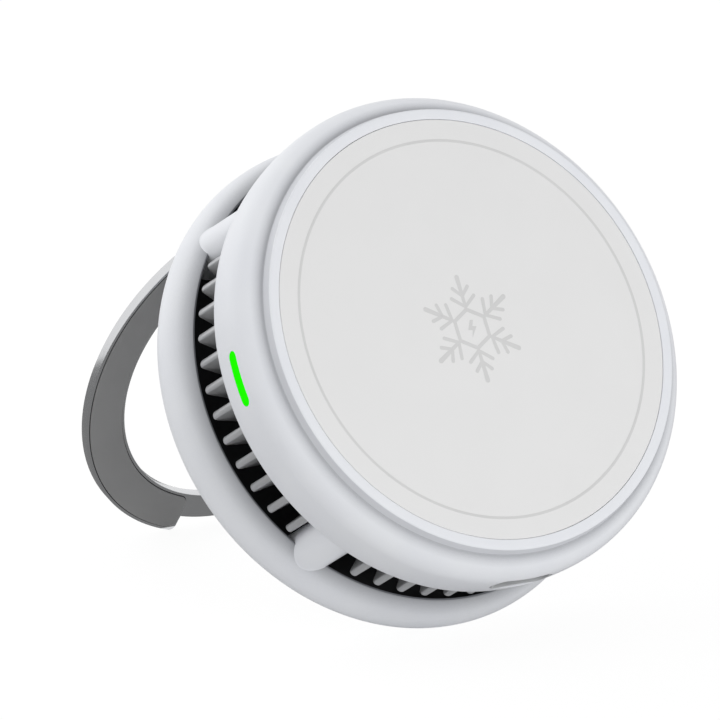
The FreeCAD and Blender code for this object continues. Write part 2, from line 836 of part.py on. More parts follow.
def make_intake_grille():
    body = new_body("intake_grille")
    radius = size.duct_radius - size.grille_gap
    disc(body, "disc", radius, grille_front, recess_floor)
    outer, inner = radius - size.grille_rim_width, size.hub_radius - size.grille_hub_inset
    width = 360 / size.slot_count * size.slot_share
    slot = Drawing(body, "slot_outline", "XY_Plane", -grille_front)
    slot.outline(
        at_angle(inner, 0),
        (*at_angle(outer, -size.slot_sweep), outer),
        at_angle(outer, width - size.slot_sweep),
        (*at_angle(inner, width), -inner))
    slot_cut = cut(body, "slot", slot, size.grille_thickness)
    repeated(body, "slots", [slot_cut], size.slot_count)
    # The tube in the middle carries the stator, and its bore is the shaft's bearing.
    disc(body, "bearing_tube", size.tube_radius, tube_front, grille_front)
    round_cut(body, "bearing_bore", shaft_hole_radius, tube_front, grille_front)


# Ring stand, drawn folded into the back


def half_ring_outline(drawing, inner, outer, end_angle):
    # A ring open at the bottom, from its right end over the top to its left end.
    right, left = -90 + end_angle, -90 - end_angle
    return drawing.outline(
        (*at_angle(outer, right), outer),
        (0, outer, outer),
        at_angle(outer, left),
        (*at_angle(inner, left), -inner),
        (0, inner, -inner),
        at_angle(inner, right))


def low_end(point):
    # Whether a point is near the ring's free end, where its pad and its wide part stop.
    return point.y < -ring_hole_radius.value / 2


def make_stand_ring():
    body = new_body("stand_ring")
    back = ring_front + size.ring_thickness
    disc(body, "ring", size.ring_radius, ring_front, back)
    round_cut(body, "finger_hole", ring_hole_radius, ring_front, back)
    half = size.notch_angle / 2
    low, high = -90 - half, -90 + half
    far = size.ring_radius + size.ring_thickness
    finger = Drawing(body, "finger_notch_outline", "XY_Plane", -ring_front)
    finger.outline(
        (*at_angle(notch_radius, low), notch_radius),
        at_angle(notch_radius, high),
        (*at_angle(far, high), -far),
        at_angle(far, low))
    cut(body, "finger_notch", finger, size.ring_thickness)
    notch_corner = notch_radius.value + size.ring_corner.value
    rounded(body, "end_corners", size.ring_corner,
            lambda foot: low_end(foot) and math.hypot(foot.x, foot.y) > notch_corner)
    # Hinge leaf and knuckle, wide enough to fill the room between the shell's ears.
    half_width = size.knuckle_width / 2
    leaf = Drawing(body, "leaf_outline", "XY_Plane", -back)
    leaf.outline(
        (-half_width, size.ring_radius - size.pad_inset), (half_width, size.ring_radius - size.pad_inset),
        (half_width, hinge_height), (-half_width, hinge_height))
    padded(body, "leaf", leaf, size.ring_thickness)
    knuckle = Drawing(body, "knuckle_outline", "YZ_Plane", -half_width)
    knuckle.circle(hinge_height, -hinge_depth, size.knuckle_radius)
    padded(body, "knuckle", knuckle, size.knuckle_width)
    bore = Drawing(body, "bore_outline", "YZ_Plane", half_width)
    bore.circle(hinge_height, -hinge_depth, size.pin_radius + size.pin_running_gap)
    cut(body, "bore", bore, size.knuckle_width)


def make_stand_pad():
    body = new_body("stand_pad")
    end_angle = size.notch_angle / 2 + math.degrees(1) * size.pad_inset / size.ring_radius
    pad = Drawing(body, "pad_outline", "XY_Plane", -ring_front)
    half_ring_outline(pad, ring_hole_radius + size.pad_inset, size.ring_radius - size.pad_inset, end_angle)
    padded(body, "pad", pad, size.pad_height)
    rounded(body, "pad_corners", size.pad_corner, low_end)


def make_hinge_pin():
    body = new_body("hinge_pin")
    reach = pin_length / 2
    pin = Drawing(body, "pin_outline", "YZ_Plane", -reach)
    pin.circle(hinge_height, -hinge_depth, size.pin_radius)
    padded(body, "pin", pin, pin_length)


# Stance: the charger stands on its lower rear rim and on the ends of the open stand ring


def find_lean(stand_points):
    # The lean at which the stand's lowest point is level with the rim's, and the height of the
    # middle of the face above both. The rim's lowest point is on its round back edge.
    def rim_drop(lean):
        up = (rear_rim_radius - size.back_round).value
        return up * math.cos(lean) + rear_rim_depth.value * math.sin(lean) + size.back_round.value

    def stand_drop(lean):
        return max(-point.y * math.cos(lean) - point.z * math.sin(lean) for point in stand_points)

    low, high = 0, math.pi / 2
    while high - low > 1e-9:
        lean = (low + high) / 2
        if stand_drop(lean) < rim_drop(lean):
            low = lean
        else:
            high = lean
    return math.degrees(lean), rim_drop(lean)


make_face_plate()
make_front_shell()
make_light_pipe()
make_port_shell()
make_port_tongue()
make_magnets()
make_charging_coil()
make_octagon_piece("ferrite_shield", ferrite_front, size.ferrite_height)
make_octagon_piece("cold_plate", cold_plate_front, size.cold_plate_height)
make_cooler()
make_foam_frame()
make_circuit_board()
make_heat_sink()
make_rear_shell()
make_stator_core()
make_stator_windings()
make_fan_impeller()
make_fan_shaft()
make_intake_grille()
make_stand_ring()
make_stand_pad()
make_hinge_pin()
doc.recompute()


for item in doc.Objects:
    if "Invalid" in item.State or "Error" in item.State:
        raise RuntimeError(f"{item.Name} failed: {item.State}")
    if item.TypeId in ("PartDesign::Pocket", "PartDesign::Groove"):
        if item.Shape.Volume > item.BaseFeature.Shape.Volume - 0.001:
            raise RuntimeError(f"{item.Name} cuts nothing")

pieces = [item for item in doc.Objects if item.TypeId == "PartDesign::Body"]
stand_pieces = ("stand_ring", "stand_pad")
hinge = Vector(0, hinge_height.value, -hinge_depth.value)
opened = Placement(Vector(), Rotation(Vector(1, 0, 0), size.stand_open_angle.value), hinge)
stand_ring = next(piece for piece in pieces if piece.Label == "stand_ring")
point_spacing = 0.005
stand_points = [opened.multVec(point) for point in stand_ring.Shape.tessellate(point_spacing)[0]]
lean, face_height = find_lean(stand_points)
leaned = Placement(Vector(0, 0, face_height), Rotation(Vector(1, 0, 0), 90 - lean))
for piece in pieces:
    piece.Placement = leaned * opened if piece.Label in stand_pieces else leaned

# The origin goes on the floor under the middle of the standing charger.
whole = Part.makeCompound([piece.Shape for piece in pieces]).optimalBoundingBox(False, False)
middle = (whole.YMin + whole.YMax) / 2
for piece in pieces:
    piece.Placement = Placement(Vector(0, -middle, 0), Rotation()) * piece.Placement

os.makedirs("parts", exist_ok=True)
for piece in pieces:
    shape = piece.Shape
    if shape.isNull() or not shape.isValid() or not shape.Solids:
        raise RuntimeError(f"{piece.Label} has no valid solid")
    shape.exportStep(f"parts/{piece.Label}.step")

turned_hinge = pieces[0].Placement.multVec(hinge)
face = pieces[0].Placement.multVec(Vector())
print(f"{len(pieces)} pieces, leaning back {lean:.5f} degrees")
print(f"hinge axis at y {turned_hinge.y:.5f}, z {turned_hinge.z:.5f}")
print(f"middle of the charging face at y {face.y:.5f}, z {face.z:.5f}")
print(f"whole charger {whole.XLength:.2f} x {whole.YLength:.2f} x {whole.ZLength:.2f}, from z {whole.ZMin:.3f}")
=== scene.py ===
# Looks for the cooling wireless charger: a white magnetic charging disc on its open ring stand.
# Piece sizes are in millimetres and repeat those of the CAD part.

import math

import bmesh
import bpy
from mathutils import Matrix, Vector


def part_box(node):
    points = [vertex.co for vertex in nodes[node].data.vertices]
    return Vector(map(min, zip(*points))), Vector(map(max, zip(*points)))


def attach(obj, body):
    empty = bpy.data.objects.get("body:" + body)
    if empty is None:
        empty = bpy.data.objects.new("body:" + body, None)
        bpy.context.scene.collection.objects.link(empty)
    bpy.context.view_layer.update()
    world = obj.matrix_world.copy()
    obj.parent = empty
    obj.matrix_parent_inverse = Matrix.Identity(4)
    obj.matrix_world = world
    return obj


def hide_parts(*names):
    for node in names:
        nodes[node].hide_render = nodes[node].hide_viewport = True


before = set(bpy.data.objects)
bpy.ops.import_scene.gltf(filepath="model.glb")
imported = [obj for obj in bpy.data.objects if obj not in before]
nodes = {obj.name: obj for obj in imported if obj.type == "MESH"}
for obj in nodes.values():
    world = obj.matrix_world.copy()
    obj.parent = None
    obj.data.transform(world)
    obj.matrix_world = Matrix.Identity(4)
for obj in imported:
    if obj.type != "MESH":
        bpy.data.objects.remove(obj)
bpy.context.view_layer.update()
mm = 0.001
print("frame loaded:", len(nodes), "nodes")


# Where the charger is: x to the right, y up the face, z out of the face, origin mid face

def middleOf(node):
    low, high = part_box(node)
    return (low + high) / 2


plateThickness = 1.3
hingePlace = {"height": 28.95, "depth": 25.55, "openAngle": 53.1}
postPlaces = {"circle": 28.55, "angles": (45, 135, 225, 315)}

right = Vector((1, 0, 0))
outward = (middleOf("face_plate") - middleOf("fan_shaft")).normalized()
upFace = outward.cross(right)
faceMiddle = middleOf("face_plate") + outward * plateThickness / 2 * mm
turned = Matrix((right, upFace, outward)).transposed().to_4x4()
chargerAxes = Matrix.Translation(faceMiddle) @ turned @ Matrix.Scale(mm, 4)
hinge = Matrix.Translation((0, hingePlace["height"], -hingePlace["depth"]))
swung = Matrix.Rotation(math.radians(hingePlace["openAngle"]), 4, "X")
standAxes = chargerAxes @ hinge @ swung @ hinge.inverted()


# Colours and materials

def toLinear(hexColour):
    channels = [int(hexColour[i:i + 2], 16) / 255 for i in (1, 3, 5)]
    linear = [c / 12.92 if c <= 0.04045 else ((c + 0.055) / 1.055) ** 2.4 for c in channels]
    return (*linear, 1)


def newMaterial(name, **shader):
    material = bpy.data.materials.new(name)
    material.use_nodes = True
    surface = material.node_tree.nodes["Principled BSDF"]
    for socket, value in shader.items():
        surface.inputs[socket.replace("_", " ")].default_value = value
    return material


def addNode(material, kind, settings, links):
    # settings go to a socket or a property of that name, links map a socket to what feeds it,
    # and sockets that share one name go by number
    node = material.node_tree.nodes.new("ShaderNode" + kind)
    for name, value in settings.items():
        if isinstance(name, int) or name in node.inputs:
            node.inputs[name].default_value = value
        else:
            setattr(node, name, value)
    for name, source in links.items():
        material.node_tree.links.new(source, node.inputs[name])
    return node


def feed(material, socket, source):
    surface = material.node_tree.nodes["Principled BSDF"]
    material.node_tree.links.new(source, surface.inputs[socket])


def grained(material, colours, grain, relief, roughness, patch=9.0, stretch=(1, 1, 1)):
    # grain is the size of one bump in mm, relief its height in mm, patch the size of the
    # slow drift between the two colours in mm, roughness the lowest and highest value; the
    # colour's ramp is given back, for finishes that tint it further
    place = addNode(material, "TexCoord", {}, {})
    scaled = addNode(material, "Mapping", {"Scale": stretch}, {"Vector": place.outputs["Object"]})
    drift = addNode(material, "TexNoise", {"Scale": 1 / (patch * mm), "Detail": 2.0},
                    {"Vector": scaled.outputs["Vector"]})
    ramp = addNode(material, "ValToRGB", {}, {"Fac": drift.outputs["Fac"]})
    ramp.color_ramp.elements[0].color = toLinear(colours[0])
    ramp.color_ramp.elements[1].color = toLinear(colours[1])
    ramp.color_ramp.elements[0].position = 0.35
    ramp.color_ramp.elements[1].position = 0.65
    feed(material, "Base Color", ramp.outputs["Color"])
    bumps = addNode(material, "TexNoise", {"Scale": 1 / (grain * mm), "Detail": 3.0},
                    {"Vector": scaled.outputs["Vector"]})
    spread = addNode(material, "MapRange", {"To Min": roughness[0], "To Max": roughness[1]},
                     {"Value": bumps.outputs["Fac"]})
    feed(material, "Roughness", spread.outputs["Result"])
    bump = addNode(material, "Bump", {"Strength": 1.0, "Distance": relief * mm},
                   {"Height": bumps.outputs["Fac"]})
    feed(material, "Normal", bump.outputs["Normal"])
    return ramp


def paintShadeInCorners(material, ramp, shade, reach, bite):
    # painted shade: a white shell's colour is painted greyer where something within reach, in mm,
    # shelters it; bite is how fast, and the mesh attribute "sheltered" paints more shade along a groove
    shelter = addNode(material, "AmbientOcclusion", {"samples": 8, "Distance": reach * mm}, {})
    power = addNode(material, "Math", {"operation": "POWER", 1: bite}, {0: shelter.outputs["AO"]})
    groove = addNode(material, "Attribute", {"attribute_name": "paintedShade"}, {})
    exposed = addNode(material, "MapRange", {"To Min": 1.0, "To Max": 0.0}, {"Value": groove.outputs["Fac"]})
    both = addNode(material, "Math", {"operation": "MULTIPLY"},
                   {0: power.outputs["Value"], 1: exposed.outputs["Result"]})
    mix = addNode(material, "MixRGB", {"Color1": toLinear(shade)},
                  {"Fac": both.outputs["Value"], "Color2": ramp.outputs["Color"]})
    feed(material, "Base Color", mix.outputs["Color"])


# moulded ABS and PC blend from a spark-eroded tool: an even satin white, faintly cool
shellWhite = newMaterial("mouldedWhiteAbs", IOR=1.54)
whiteRamp = grained(shellWhite, ("#E2E4E9", "#E5E7EB"), grain=0.35, relief=0.0025, roughness=(0.36, 0.44))
# painted shade: the shell's white greys towards #6E7076 in corners, creases and along painted grooves
paintShadeInCorners(shellWhite, whiteRamp, "#6E7076", reach=40.0, bite=2.6)

# the same blend on the raised rim and the posts, smoother and painted a little brighter: a lit copy, painted
# light, with none of the painted corner shade
paintedLightRim = newMaterial("paintedLightWhiteRim", IOR=1.54)
grained(paintedLightRim, ("#E5E7EC", "#E8EAEE"), grain=0.35, relief=0.001, roughness=(0.3, 0.36))

# the same blend on the rim's own edge, painted a shade greyer as painted shade, so the rim stands out
rimEdgePaintedShade = newMaterial("paintedShadeRimEdge", IOR=1.54)
grained(rimEdgePaintedShade, ("#CFD1D6", "#D3D5DA"), grain=0.35, relief=0.002, roughness=(0.4, 0.48))

# painted shade: the faces that line the air's way, and the pad's groove, painted near black as the shade
# there
paintedShadeLining = newMaterial("paintedShadeBlackLining", IOR=1.54, Specular_IOR_Level=0.2)
grained(paintedShadeLining, ("#2E2E30", "#343436"), grain=0.3, relief=0.002, roughness=(0.6, 0.75))

# liquid silicone skin on the charging face: dry and matt, hardly any shine
faceSilicone = newMaterial("mouldedFaceSilicone", IOR=1.41, Specular_IOR_Level=0.25)
grained(faceSilicone, ("#E5E5E5", "#E6E6E6"), grain=0.3, relief=0.001, roughness=(0.7, 0.8))

# pad-printed grey ink, a little darker than the silicone that it sits on
printInk = newMaterial("padPrintedInk", IOR=1.5, Specular_IOR_Level=0.2)
grained(printInk, ("#D2D2D2", "#D4D4D4"), grain=0.2, relief=0.001, roughness=(0.6, 0.7))

# frosted polycarbonate light pipe, lit green from inside: an even glow that hides its surface
litPipe = newMaterial("litGreenPolycarbonate", IOR=1.585, Emission_Strength=1.0, Roughness=0.6,
                      Specular_IOR_Level=0.0, Base_Color=toLinear("#000000"))
glowPlace = addNode(litPipe, "TexCoord", {}, {})
glowDrift = addNode(litPipe, "TexNoise", {"Scale": 1 / (2.0 * mm)}, {"Vector": glowPlace.outputs["Object"]})
glowRamp = addNode(litPipe, "ValToRGB", {}, {"Fac": glowDrift.outputs["Fac"]})
glowRamp.color_ramp.elements[0].color = toLinear("#1CFB00")
glowRamp.color_ramp.elements[1].color = toLinear("#20FF02")
feed(litPipe, "Emission Color", glowRamp.outputs["Color"])

# die-cast aluminium with a grey passivated skin, part mirror and part scatter, painted dark deep
# between the fins as painted shade, by the mesh attribute "bare": pale noses, grey flanks, a dark bottom
castFins = newMaterial("castAluminiumFins", Metallic=0.5)
finRamp = grained(castFins, ("#C4C5C7", "#CECFD1"), grain=0.25, relief=0.003, roughness=(0.26, 0.34))
# painted shade: the fins' colour darkens to this grey deep in the gaps
finShadeMask = addNode(castFins, "Attribute", {"attribute_name": "clearOfPaintedShade"}, {})
finMix = addNode(castFins, "MixRGB", {"Color1": toLinear("#38383A")},
                 {"Fac": finShadeMask.outputs["Fac"], "Color2": finRamp.outputs["Color"]})
feed(castFins, "Base Color", finMix.outputs["Color"])

# zinc alloy, polished and chromed: a soft mirror, its reflections blurred by polishing haze, of
# the grey card under the charger and the white room above
chromedZinc = newMaterial("polishedChromedZinc", Metallic=1.0)
grained(chromedZinc, ("#DFE0E2", "#E6E7E9"), grain=0.5, relief=0.0006, roughness=(0.18, 0.25))

# grey elastomer pad, matt, moulded against a fine texture
greyPad = newMaterial("mouldedGreyElastomer", IOR=1.48, Specular_IOR_Level=0.3)
grained(greyPad, ("#919191", "#949494"), grain=0.25, relief=0.002, roughness=(0.6, 0.72))

# stainless steel, stamped, folded and tumbled: dull and pale, with long soft draw marks
stampedSteel = newMaterial("tumbledStainlessSteel", Metallic=0.5)
grained(stampedSteel, ("#D2D4D6", "#DCDEE0"), grain=0.12, relief=0.001, roughness=(0.44, 0.56),
        stretch=(1, 0.15, 0.15))

# hardened steel, ground: fine even scratches
groundSteel = newMaterial("groundHardenedSteel", Metallic=1.0)
grained(groundSteel, ("#B4B5B7", "#BEBFC1"), grain=0.1, relief=0.0006, roughness=(0.18, 0.26),
        stretch=(0.2, 1, 1))

# black liquid-crystal polymer in the socket: dull, with short fibres
blackPolymer = newMaterial("mouldedBlackPolymer", IOR=1.6)
grained(blackPolymer, ("#141415", "#1B1B1C"), grain=0.2, relief=0.002, roughness=(0.5, 0.62))

# copper contacts with a hard gold flash: smooth and warm
goldFlash = newMaterial("goldFlashedCopper", Metallic=1.0)
grained(goldFlash, ("#E0B45A", "#E8BE66"), grain=0.15, relief=0.0005, roughness=(0.2, 0.28))

# glass-filled PBT fan: dark satin with a faint fibre mottle
fanPlastic = newMaterial("mouldedDarkPbt", IOR=1.55)
grained(fanPlastic, ("#2A2B2D", "#323335"), grain=0.3, relief=0.003, roughness=(0.42, 0.55), patch=3.0)

# enamelled copper wire, wound flat: warm and glossy, with a groove between turns
woundCopper = newMaterial("enamelledCopperWire", Metallic=1.0)
grained(woundCopper, ("#B86A3A", "#C67A48"), grain=0.45, relief=0.03, roughness=(0.25, 0.35), patch=2.0)

# sintered ferrite: near black, dull, slightly granular
sinteredFerrite = newMaterial("sinteredFerrite", IOR=2.3)
grained(sinteredFerrite, ("#2B2A2B", "#353435"), grain=0.15, relief=0.004, roughness=(0.6, 0.75), patch=4.0)

# neodymium blocks in bright nickel: smooth with soft orange-peel
nickelPlate = newMaterial("nickelPlatedMagnet", Metallic=1.0)
grained(nickelPlate, ("#C3C0B8", "#CFCCC4"), grain=0.6, relief=0.001, roughness=(0.14, 0.22))

# fired alumina tiles of the cooler: chalky white
firedAlumina = newMaterial("firedAluminaCeramic", IOR=1.76)
grained(firedAlumina, ("#EFEEE9", "#F4F3EF"), grain=0.1, relief=0.002, roughness=(0.55, 0.7))

# closed-cell foam: black, open-looking skin of tiny cells
closedFoam = newMaterial("closedCellFoam", IOR=1.5)
grained(closedFoam, ("#1E1E20", "#28282A"), grain=0.5, relief=0.06, roughness=(0.8, 0.95), patch=2.0)

# glass-epoxy board under solder mask: dark green, glossy over the weave
solderMask = newMaterial("solderMaskedBoard", IOR=1.55)
grained(solderMask, ("#0E4A2C", "#125634"), grain=0.5, relief=0.004, roughness=(0.25, 0.35), patch=2.5)

# electrical steel stampings in a stack: grey-blue with fine layer lines
stackedSteel = newMaterial("stackedElectricalSteel", Metallic=1.0)
grained(stackedSteel, ("#7C7F84", "#8A8D92"), grain=0.35, relief=0.01, roughness=(0.35, 0.5))

# machined aluminium cold plate: pale with straight cutter marks
milledAluminium = newMaterial("milledAluminium", Metallic=1.0)
grained(milledAluminium, ("#B9BABC", "#C5C6C8"), grain=0.3, relief=0.002, roughness=(0.28, 0.4),
        stretch=(1, 0.1, 0.1))

nodeFinishes = {
    "usb_c_shell": stampedSteel,
    "usb_c_tongue": blackPolymer,
    "magnet_ring": nickelPlate,
    "charging_coil": woundCopper,
    "ferrite_shield": sinteredFerrite,
    "cold_plate": milledAluminium,
    "thermoelectric_module": firedAlumina,
    "foam_frame": closedFoam,
    "circuit_board": solderMask,
    "stator_core": stackedSteel,
    "stator_windings": woundCopper,
    "fan_impeller": fanPlastic,
    "fan_shaft": groundSteel,
    "hinge_pin": groundSteel,
}
for nodeName, finish in nodeFinishes.items():
    for slot in nodes[nodeName].material_slots:
        slot.material = finish
print("materials made:", len(bpy.data.materials))


# Ways of making a piece

def onCircle(radius, angle):
    return radius * math.cos(math.radians(angle)), radius * math.sin(math.radians(angle))


def arc(centre, radius, first, last, steps):
    points = []
    for step in range(steps + 1):
        x, y = onCircle(radius, first + (last - first) * step / steps)
        points.append((centre[0] + x, centre[1] + y))
    return points


def softened(corners, steps=5):
    # rounds each corner of a closed outline given as (x, y) or (x, y, radius)
    outline = []
    for number, corner in enumerate(corners):
        here = Vector(corner[:2])
        if len(corner) == 2:
            outline.append(tuple(here))
            continue
        before = (Vector(corners[number - 1][:2]) - here).normalized()
        after = (Vector(corners[(number + 1) % len(corners)][:2]) - here).normalized()
        half = before.angle(after) / 2
        centre = here + (before + after).normalized() * corner[2] / math.sin(half)
        first = here + before * corner[2] / math.tan(half) - centre
        last = here + after * corner[2] / math.tan(half) - centre
        start = math.degrees(math.atan2(first.y, first.x))
        sweep = math.degrees(math.atan2(last.y, last.x)) - start
        outline += arc(tuple(centre), corner[2], start, start + (sweep + 180) % 360 - 180, steps)
    return outline


def asPiece(name, mesh, finish, body, replaced=(), sharpAngle=35):
    # a finished mesh in world metres becomes a named piece on its body
    mesh.name = name
    bm = bmesh.new()
    bm.from_mesh(mesh)
    bmesh.ops.remove_doubles(bm, verts=bm.verts, dist=1e-7)
    bmesh.ops.recalc_face_normals(bm, faces=bm.faces)
    bm.to_mesh(mesh)
    bm.free()
    mesh.shade_smooth()
    mesh.set_sharp_from_angle(angle=math.radians(sharpAngle))
    mesh.materials.clear()
    mesh.materials.append(finish)
    piece = bpy.data.objects.new(name, mesh)
    bpy.context.scene.collection.objects.link(piece)
    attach(piece, body)
    if replaced:
        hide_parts(*replaced)
    return piece


def refaced(piece, finish, wanted):
    # a second finish on the faces whose middle, as (radius, depth, x, y), is wanted
    piece.data.materials.append(finish)
    toCharger = chargerAxes.inverted()
    for face in piece.data.polygons:
        x, y, z = toCharger @ face.center
        if wanted(math.hypot(x, y), -z, x, y):
            face.material_index = len(piece.data.materials) - 1


def graded(piece, name, share):
    # a mesh attribute that share works out from (radius, depth)
    values = piece.data.attributes.new(name, "FLOAT", "POINT").data
    toCharger = chargerAxes.inverted()
    for number, vertex in enumerate(piece.data.vertices):
        x, y, z = toCharger @ vertex.co
        values[number].value = max(0.0, min(1.0, share(math.hypot(x, y), -z)))


def asMesh(points, faces, axes):
    mesh = bpy.data.meshes.new("form")
    mesh.from_pydata([axes @ Vector(point) for point in points], [], faces)
    mesh.update()
    return mesh


def lathed(profile, axes, steps=288):
    # turns a closed outline of (radius, depth) about the charger's axis
    points, faces, count = [], [], len(profile)
    for step in range(steps):
        for radius, depth in profile:
            points.append((*onCircle(radius, 360 * step / steps), -depth))
        for row in range(count):
            here, ahead = step * count, (step + 1) % steps * count
            faces.append((here + row, ahead + row, ahead + (row + 1) % count, here + (row + 1) % count))
    return asMesh(points, faces, axes)


# which way a prism's height runs: out of the face, to the charger's right, or up the face

def straight(x, y, z):
    return x, y, z


def sideways(x, y, z):
    return z, x, -y


def downwards(x, y, z):
    return x, z, -y


def prism(outline, low, high, axes, place=straight):
    count = len(outline)
    points = [place(x, y, low) for x, y in outline] + [place(x, y, high) for x, y in outline]
    faces = [tuple(range(count)), tuple(range(2 * count - 1, count - 1, -1))]
    for number in range(count):
        after = (number + 1) % count
        faces.append((number, count + number, count + after, after))
    return asMesh(points, faces, axes)


def pressed(outlines, low, high, edge, axes):
    # a flat piece with holes, its edges rounded: made as a filled curve in mm, then placed
    curve = bpy.data.curves.new("outline", "CURVE")
    curve.dimensions = "2D"
    curve.fill_mode = "BOTH"
    curve.extrude = (high - low) / 2 - edge
    curve.bevel_depth = edge
    curve.bevel_resolution = 2
    curve.offset = -edge
    for outline in outlines:
        spline = curve.splines.new("POLY")
        spline.points.add(len(outline) - 1)
        spline.points.foreach_set("co", [c for x, y in outline for c in (x, y, 0, 1)])
        spline.use_cyclic_u = True
    holder = bpy.data.objects.new("outline", curve)
    mesh = bpy.data.meshes.new_from_object(holder)
    bpy.data.objects.remove(holder)
    bpy.data.curves.remove(curve)
    bm = bmesh.new()
    bm.from_mesh(mesh)
    bmesh.ops.remove_doubles(bm, verts=bm.verts, dist=1e-4)
    bm.to_mesh(mesh)
    bm.free()
    mesh.transform(axes @ Matrix.Translation((0, 0, (low + high) / 2)))
    return mesh


def shaped(mesh, other, operation):
    # boolean of two closed meshes
    held, tool = (bpy.data.objects.new("held", m) for m in (mesh, other))
    for item in (held, tool):
        bm = bmesh.new()
        bm.from_mesh(item.data)
        bmesh.ops.recalc_face_normals(bm, faces=bm.faces)
        bm.to_mesh(item.data)
        bm.free()
        bpy.context.scene.collection.objects.link(item)
    step = held.modifiers.new("step", "BOOLEAN")
    step.operation = operation
    step.object = tool
    step.solver = "EXACT"
    result = bpy.data.meshes.new_from_object(held.evaluated_get(bpy.context.evaluated_depsgraph_get()))
    bpy.data.objects.remove(held)
    bpy.data.objects.remove(tool)
    return result


def joined(meshes):
    bm = bmesh.new()
    for mesh in meshes:
        bm.from_mesh(mesh)
    whole = bpy.data.meshes.new("whole")
    bm.to_mesh(whole)
    bm.free()
    return whole


def pill(across, along, middle):
    # a slot shape: across is its whole length, along its height
    reach, radius = (across - along) / 2, along / 2
    return [*arc((reach, middle), radius, -90, 90, 14), *arc((-reach, middle), radius, 90, 270, 14)]


# Front shell

frontShell = {
    "plateHole": 28.05, "faceRim": 29.4, "valley": 29.68, "valleyDepth": 1.3, "valleyRound": 0.16,
    "rim": 32.35, "rimDepth": 5.0, "skirt": 31.63, "skirtDepth": 10.5, "wall": 1.3,
    "rimRound": 0.3, "holeRound": 0.06, "skirtRound": 0.22, "deckHole": 21.9, "deckBack": 2.3,
    "light": (7.38, 1.74, 6.08), "port": (9.18, 3.4, 5.95),     # length, height and depth of its middle
    "beyond": 34, "lightRoot": 29, "portRoot": 28, "portMouth": 0.4, "portEdge": 0.05,
    "groovePaintedShade": 0.3, "grooveReach": 1.2, "grooveStart": 1.15,
}


def arcRadius(across, along):
    return (across * across + along * along) / (2 * across)


def barrelArc():
    f = frontShell
    radius = arcRadius(f["rim"] - f["skirt"], f["skirtDepth"] - f["rimDepth"])
    sweep = math.degrees(math.asin((f["skirtDepth"] - f["rimDepth"]) / radius))
    return arc((f["rim"] - radius, f["rimDepth"]), radius, 0, sweep, 10)


def makeFrontShell():
    f = frontShell
    rise = f["rimDepth"] - f["valleyDepth"]
    shoulder = arcRadius(f["rim"] - f["valley"], rise)
    sweep = math.degrees(math.asin(rise / shoulder))
    outside = arc((f["rim"] - shoulder, f["rimDepth"]), shoulder, -sweep, 0, 24)[1:]
    barrel = barrelArc()[1:-1]
    profile = softened([
        (f["deckHole"], f["valleyDepth"]),
        (f["plateHole"], f["valleyDepth"]),
        (f["plateHole"], 0, f["holeRound"]),
        (f["faceRim"], 0, f["rimRound"]),
        (f["valley"], f["valleyDepth"], f["valleyRound"]),
        *outside, *barrel,
        (f["skirt"], f["skirtDepth"], f["skirtRound"]),
        (f["skirt"] - f["wall"], f["skirtDepth"], f["skirtRound"]),
        (f["rim"] - f["wall"], f["deckBack"]),
        (f["deckHole"], f["deckBack"])])
    shell = lathed(profile, chargerAxes)
    length, height, depth = f["light"]
    slot = prism(pill(length, height, depth), -f["beyond"], -f["lightRoot"], chargerAxes, sideways)
    shell = shaped(shell, slot, "DIFFERENCE")
    length, height, depth = f["port"]
    hole = prism(pill(length, height, depth), -f["beyond"], -f["portRoot"], chargerAxes, downwards)
    shell = shaped(shell, hole, "DIFFERENCE")
    piece = asPiece("frontShell", shell, shellWhite, "housing", ["front_shell"])
    inside, valleyTop = f["skirt"] - f["wall"] / 2, f["valleyDepth"] - 0.05
    # painted shade: the shell's inside is painted near black
    refaced(piece, paintedShadeLining, lambda radius, depth, x, y: radius < inside and depth > f["deckBack"] - 0.1)
    # painted light: the rim's face takes the brighter copy of the white
    refaced(piece, paintedLightRim, lambda radius, depth, x, y: radius < f["faceRim"] and depth < valleyTop)
    # painted shade: the rim's own edge takes the greyer copy of the white
    refaced(piece, rimEdgePaintedShade, lambda radius, depth, x, y:
            f["faceRim"] < radius < f["valley"] - 0.02 and depth < valleyTop)
    # painted light: the port's walls take the brighter copy, free of the painted corner shade
    length, height = (side / 2 + f["portEdge"] for side in f["port"][:2])
    middle, mouth = f["port"][2], f["rim"] - f["portMouth"]
    refaced(piece, paintedLightRim, lambda radius, depth, x, y:
            abs(x) < length and y < -f["deckHole"] and abs(depth - middle) < height and radius < mouth)

    # painted shade along the groove outside the rim, fading up the shoulder
    def inGroove(radius, depth):
        if depth > f["rimDepth"] or radius < f["valley"] - 0.1:
            return 0
        return f["groovePaintedShade"] * min(1, f["grooveStart"] - (radius - f["valley"]) / f["grooveReach"])

    graded(piece, "paintedShade", inGroove)


makeFrontShell()


# Charge light, flush with the barrel

lightPipe = {"length": 7.3, "height": 1.66, "depth": 6.08, "root": 30.2, "beyond": 33, "coreRadius": 26,
             "coreFront": 4.5}


def makeLightPipe():
    p = lightPipe
    bar = prism(pill(p["length"], p["height"], p["depth"]), -p["beyond"], -p["root"], chargerAxes, sideways)
    barrel = barrelArc()
    core = lathed([(p["coreRadius"], p["coreFront"]), (barrel[0][0], p["coreFront"]), *barrel,
                   (p["coreRadius"], barrel[-1][1])], chargerAxes)
    asPiece("lightPipe", shaped(bar, core, "INTERSECT"), litPipe, "housing", ["light_pipe"])


makeLightPipe()


# Charging face with its print

